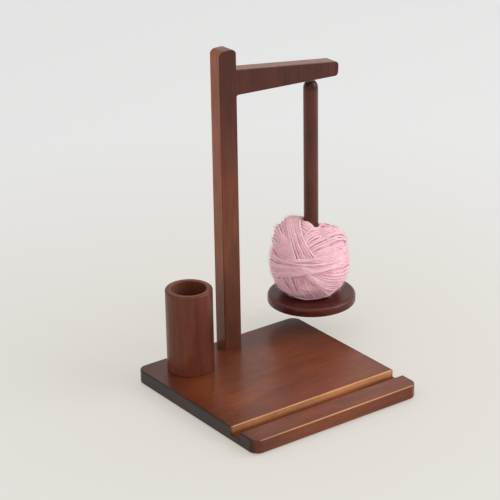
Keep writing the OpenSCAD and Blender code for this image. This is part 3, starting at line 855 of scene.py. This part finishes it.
def pink_wool():
    """Soft pink wool: plies with painted shade along their grooves, a slow change of tone along the strand,
    painted shade on the strands' flanks, where they lie deep in the ball, and low on it where they don't stand
    out, fine fibre noise for bump, and a soft sheen."""
    finish, tree, shader = new_finish("pink_wool")
    strand = add(tree, "UVMap", uv_map="strand").outputs[0]
    twist, around = add(tree, "SeparateXYZ", {0: strand}).outputs[:2]
    phase = reckon(tree, "SUBTRACT", reckon(tree, "MULTIPLY", around, float(PLY_COUNT)), twist)
    ply = reckon(tree, "COSINE", reckon(tree, "MULTIPLY", phase, 2 * math.pi))
    crest = reckon(tree, "COSINE", reckon(tree, "MULTIPLY", around, 2 * math.pi))
    place = own_place(tree)
    tone = noise(tree, place, TONE_SCALE, detail=3.0)
    fibre = noise(tree, place, FIBRE_SCALE, detail=4.0)
    depth = add(tree, "Attribute", attribute_name="depth").outputs["Fac"]
    level = add(tree, "SeparateXYZ", {0: place}).outputs["Z"]
    low = slide(tree, level, disc_top + LOW_SHADE_SPAN[0], disc_top + LOW_SHADE_SPAN[1])
    sunk_shade = slide(tree, depth, *SUNK_SHADE_SPAN)
    colour = ramp(tree, tone, *MOTTLE_SPAN, WOOL_DEEP, WOOL_PALE)
    colour = blend(tree, 1.0, colour, slide(tree, ply, *GROOVE_SPAN, GROOVE_SHADE, 1.0), "MULTIPLY")
    # Painted shade on the flanks, deep in the ball, and low on it.
    colour = tinted(tree, slide(tree, crest, *FLANK_SHADE_SPAN), colour, FLANK_SHADE)
    colour = tinted(tree, slide(tree, depth, *BURIED_SHADE_SPAN), colour, BURIED_SHADE)
    colour = tinted(tree, reckon(tree, "MULTIPLY", low, sunk_shade), colour, LOW_SHADE)
    feed(tree, shader.inputs, {
        "Base Color": colour,
        "Normal": bumped(tree, reckon(tree, "ADD", ply, fibre), strength=0.35, distance=0.0003),
        "Roughness": 0.9,
        "Sheen Weight": 0.7,
        "Sheen Tint": SHEEN_TINT,
        "Sheen Roughness": 0.5,
    })
    return finish


# Each bundle's turns, three points of the face that its first turn and its last turn go through,
# how much it wavers, and the band of the face that it shows in. They are wound in this order.
BELT_TURN = ((-0.912, 0.197), (-0.166, -0.078), (0.948, 0.344))
FOOT_TURN = ((-0.824, -0.605), (-0.09, -0.941), (0.884, -0.554))
bundles = {
    "yarn_coil_lower": dict(
        turns=33, waver=0.008, band=EVERYWHERE,
        first=((-0.573, 0.783), (-0.472, 0.854), (-0.371, 0.894)),
        last=((0.539, -0.783), (0.64, -0.732), (0.72, -0.641))),
    "yarn_coil_upper": dict(
        turns=33, waver=0.008, band=EVERYWHERE,
        first=((0.611, 0.782), (0.705, 0.698), (0.771, 0.624)),
        last=((-0.674, -0.601), (-0.593, -0.702), (-0.472, -0.783))),
    "yarn_coil_level": dict(
        turns=33, waver=0.008, band=EVERYWHERE,
        first=((-0.66, 0.69), (0, 0.43), (0.66, 0.69)),
        last=((-0.71, -0.644), (0, -0.92), (0.71, -0.644))),
    "yarn_right_shoulder": dict(
        turns=12, waver=0.015, band=(0.05, 2),
        first=((-0.14, 0.686), (0.163, 0.85), (0.644, 0.888)),
        last=((0.037, 0.003), (0.467, 0.18), (0.968, 0.281))),
    "yarn_lower_left": dict(
        turns=6, waver=0.03, band=(-2, -0.22),
        first=((-0.773, -0.301), (-0.672, -0.529), (-0.52, -0.757)),
        last=((-0.318, -0.326), (-0.267, -0.605), (-0.115, -0.87))),
    "yarn_lower_middle": dict(
        turns=6, waver=0.03, band=(-2, -0.22),
        first=((-0.242, -0.326), (-0.115, -0.63), (0.062, -0.896)),
        last=((-0.039, -0.314), (0.239, -0.605), (0.467, -0.807))),
    "yarn_lower_right": dict(
        turns=10, waver=0.015, band=(-2, -0.05),
        first=((-0.14, -0.175), (0.442, -0.111), (0.986, 0.066)),
        last=((-0.039, -0.352), (0.366, -0.681), (0.821, -0.63))),
    "yarn_left_shoulder": dict(
        turns=12, waver=0.015, band=(0, 2),
        first=((-0.955, 0.331), (-0.773, 0.192), (-0.571, 0.066)),
        last=((-0.545, 1.053), (-0.52, 0.66), (-0.406, 0.129))),
    "yarn_left_fan": dict(
        turns=7, waver=0.02, band=(0, 2),
        first=((-0.571, 1.053), (-0.533, 0.635), (-0.419, 0.129)),
        last=((-0.229, 1.015), (-0.14, 0.585), (0.1, 0.18))),
    "yarn_belt": dict(
        turns=9, waver=0.02, band=EVERYWHERE,
        first=((-0.963, 0.306), (-0.166, 0.091), (0.96, 0.534)),
        last=((-0.9, -0.352), (-0.166, -0.339), (0.993, 0.003))),
    "yarn_belt_turn": dict(turns=1, waver=0, band=EVERYWHERE, first=BELT_TURN, last=BELT_TURN),
    "yarn_foot_turn": dict(turns=1, waver=0, band=EVERYWHERE, first=FOOT_TURN, last=FOOT_TURN),
}
wound = {}
for seed, (name, plan) in enumerate(bundles.items()):
    if name == "yarn_right_shoulder":
        wound["yarn_collar"] = wind_collar(COLLAR_TURNS, least_off_rod, rod_r + COLLAR_WIDTH)
    wound[name] = wind(**plan, seed=seed)

# Points spread evenly over the ball, by the golden angle, at which the pile is read.
step = np.arange(SETTLE_POINTS)
spread_rise = 1 - (2 * step + 1) / SETTLE_POINTS
spread_turn = step * math.pi * (3 - math.sqrt(5))
spread_ring = np.sqrt(1 - spread_rise ** 2)
spread = np.stack([spread_ring * np.cos(spread_turn), spread_ring * np.sin(spread_turn), spread_rise], -1)
pile_there = pile[cell_of(spread)]
lines = {name: settle(heading, height, spread, pile_there) for name, (heading, height) in wound.items()}
strand_wool = pink_wool()
for name, line in lines.items():
    wear_wool(strand_mesh(name, line, wound[name][0]), strand_wool)


# Fuzz of the ball of yarn. Loose fibres of the same wool that stand off the outer strands in low arcs.
# They are spun into the strand at one end only, and keep clear of the rod and of the disc.
FUZZ_SEED = 77
FUZZ_COUNT = 4500
FUZZ_R = 0.000045
FUZZ_SIDES = 3
FUZZ_POINTS = 6
FUZZ_CLEAR = 0.006
FUZZ_DEPTH = 1.6 * STRAND_R
FUZZ_ROOT = 0.6 * STRAND_R
FUZZ_SLANT = 1.2
FUZZ_LENGTH = (0.003, 0.008)
FUZZ_RISE = (0.0006, 0.0032)
FUZZ_ARC = 0.8
FUZZ_THINNING = 0.7


def fuzz_mesh(name, line, outward):
    """Loose fibres that stand off the wool: each leaves a strand's back, goes along with the strand at a
    slant, rises in an arc and comes part of the way down again, but not into the disc, as a three-sided
    tube that thins towards its tip."""
    draw = np.random.default_rng(FUZZ_SEED)
    ahead = np.gradient(line, axis=0)
    ahead /= np.linalg.norm(ahead, axis=1, keepdims=True)
    depth = ball_reach(outward) - np.linalg.norm(line - ball_mid, axis=1)
    off_rod = np.linalg.norm(line[:, :2] - rod_mid, axis=1)
    clear = (off_rod > rod_r + FUZZ_CLEAR) & (line[:, 2] > disc_top + FUZZ_CLEAR)
    picked = draw.choice(np.flatnonzero((depth < FUZZ_DEPTH) & clear), FUZZ_COUNT, replace=False)
    ahead, out = ahead[picked], outward[picked]
    aside = np.cross(ahead, out)
    slant = draw.uniform(-FUZZ_SLANT, FUZZ_SLANT, (FUZZ_COUNT, 1))
    onward = np.sign(draw.uniform(-1, 1, (FUZZ_COUNT, 1)))
    way = onward * ahead * np.cos(slant) + aside * np.sin(slant)
    length = draw.uniform(*FUZZ_LENGTH, FUZZ_COUNT)
    rise = draw.uniform(*FUZZ_RISE, FUZZ_COUNT)
    share = np.linspace(0, 1, FUZZ_POINTS)
    middle = (line[picked] + FUZZ_ROOT * out)[:, None] + way[:, None] * (length[:, None] * share)[..., None]
    middle = middle + out[:, None] * (rise[:, None] * np.sin(share * FUZZ_ARC * math.pi))[..., None]
    middle[..., 2] = np.maximum(middle[..., 2], disc_top + REST_GAP)
    angle = np.arange(FUZZ_SIDES) / FUZZ_SIDES * 2 * math.pi
    across = np.cross(way, out)
    spokes = np.cos(angle)[None, :, None] * out[:, None] + np.sin(angle)[None, :, None] * across[:, None]
    radius = FUZZ_R * (1 - FUZZ_THINNING * share)
    points = middle[:, :, None] + spokes[:, None] * radius[None, :, None, None]
    fibre = np.arange(FUZZ_COUNT)[:, None, None] * FUZZ_POINTS * FUZZ_SIDES
    ring = fibre + np.arange(FUZZ_POINTS - 1)[None, :, None] * FUZZ_SIDES
    side = np.arange(FUZZ_SIDES)[None, None]
    after = (side + 1) % FUZZ_SIDES
    quads = np.stack([ring + side, ring + FUZZ_SIDES + side, ring + FUZZ_SIDES + after, ring + after], -1)
    first_cap = fibre[:, 0] + np.arange(FUZZ_SIDES)
    last_cap = first_cap[:, ::-1] + (FUZZ_POINTS - 1) * FUZZ_SIDES
    faces = quads.reshape(-1, 4).tolist() + first_cap.tolist() + last_cap.tolist()
    return smooth_piece(name, points, faces)


all_lines = np.concatenate(list(lines.values()))
all_headings = np.concatenate([heading for heading, height in wound.values()])
fuzz_wool = loose_wool("pink_wool_fuzz", screen(246, 202, 210), screen(255, 222, 227))
wear_wool(fuzz_mesh("yarn_fuzz", all_lines, all_headings), fuzz_wool)


# Stage. A pale seamless floor, cream near the stand and whiter far off, under soft studio light from a wide
# lamp at the front right, a weaker one at the left and a strip from above. About half of the floor's tone
# is its own, so shadows stay faint.
FLOOR_HALF = 7.0
FLOOR_BASE = screen(232, 231, 229)
FLOOR_NEAR = screen(224, 219, 207)
FLOOR_FAR = screen(237, 238, 239)
FLOOR_FADE = (0.2, 0.75)
FLOOR_OWN = 0.55
STUDIO_TONE = (1.0, 0.99, 0.98, 1)
STUDIO_STRENGTH = 0.72
# Each lamp's place, the point that it is turned to, its width and height, and its power.
LAMPS = {
    "lamp_key": ((1.6, -1.4, 1.2), (0, 0, 0.15), 2.0, 1.4, 21.0),
    "lamp_left": ((-1.9, -0.5, 1.0), (0, 0, 0.15), 2.0, 1.4, 5.0),
    "lamp_strip": ((1.07, -0.78, 1.5), (0, 0, 0.02), 1.5, 0.3, 3.5),
}

floor_mesh = bpy.data.meshes.new("floor")
floor_mesh.from_pydata([
    (-FLOOR_HALF, -FLOOR_HALF, 0), (FLOOR_HALF, -FLOOR_HALF, 0),
    (FLOOR_HALF, FLOOR_HALF, 0), (-FLOOR_HALF, FLOOR_HALF, 0),
], [], [(0, 1, 2, 3)])
floor = bpy.data.objects.new("floor", floor_mesh)
bpy.context.scene.collection.objects.link(floor)
floor_finish, floor_tree, floor_shader = new_finish("pale_floor")
feed(floor_tree, floor_shader.inputs, {"Base Color": FLOOR_BASE, "Roughness": 0.7})
floor_off = add(floor_tree, "VectorMath", {0: own_place(floor_tree)}, operation="LENGTH").outputs["Value"]
floor_tone = blend(floor_tree, slide(floor_tree, floor_off, *FLOOR_FADE), FLOOR_NEAR, FLOOR_FAR)
floor_glow = add(floor_tree, "Emission", {"Color": floor_tone})
floor_rays = add(floor_tree, "LightPath").outputs
seen = floor_rays["Is Camera Ray"]
for ray in ("Is Glossy Ray", "Is Transmission Ray"):
    seen = reckon(floor_tree, "MAXIMUM", seen, floor_rays[ray])
own_share = reckon(floor_tree, "MULTIPLY", seen, FLOOR_OWN)
floor_mix = add(floor_tree, "MixShader", {0: own_share, 1: floor_shader.outputs[0], 2: floor_glow.outputs[0]})
floor_tree.links.new(floor_mix.outputs[0], floor_tree.nodes["Material Output"].inputs["Surface"])
floor_mesh.materials.append(floor_finish)

world = bpy.data.worlds.new("studio")
world.use_nodes = True
studio = world.node_tree.nodes["Background"]
feed(world.node_tree, studio.inputs, {"Color": STUDIO_TONE, "Strength": STUDIO_STRENGTH})
bpy.context.scene.world = world


def soft_lamp(name, place, target, width, height, power):
    """Area lamp at a place, turned to its target with its width level."""
    data = bpy.data.lights.new(name, "AREA")
    data.shape = "RECTANGLE"
    data.size = width
    data.size_y = height
    data.energy = power
    ahead = np.array(target) - np.array(place)
    ahead = ahead / np.linalg.norm(ahead)
    right = np.cross(ahead, (0, 0, 1))
    right = right / np.linalg.norm(right)
    stand_at(bpy.data.objects.new(name, data), place, right, np.cross(right, ahead), ahead)


for name, lamp in LAMPS.items():
    soft_lamp(name, *lamp)

bpy.context.scene.view_settings.view_transform = "Standard"
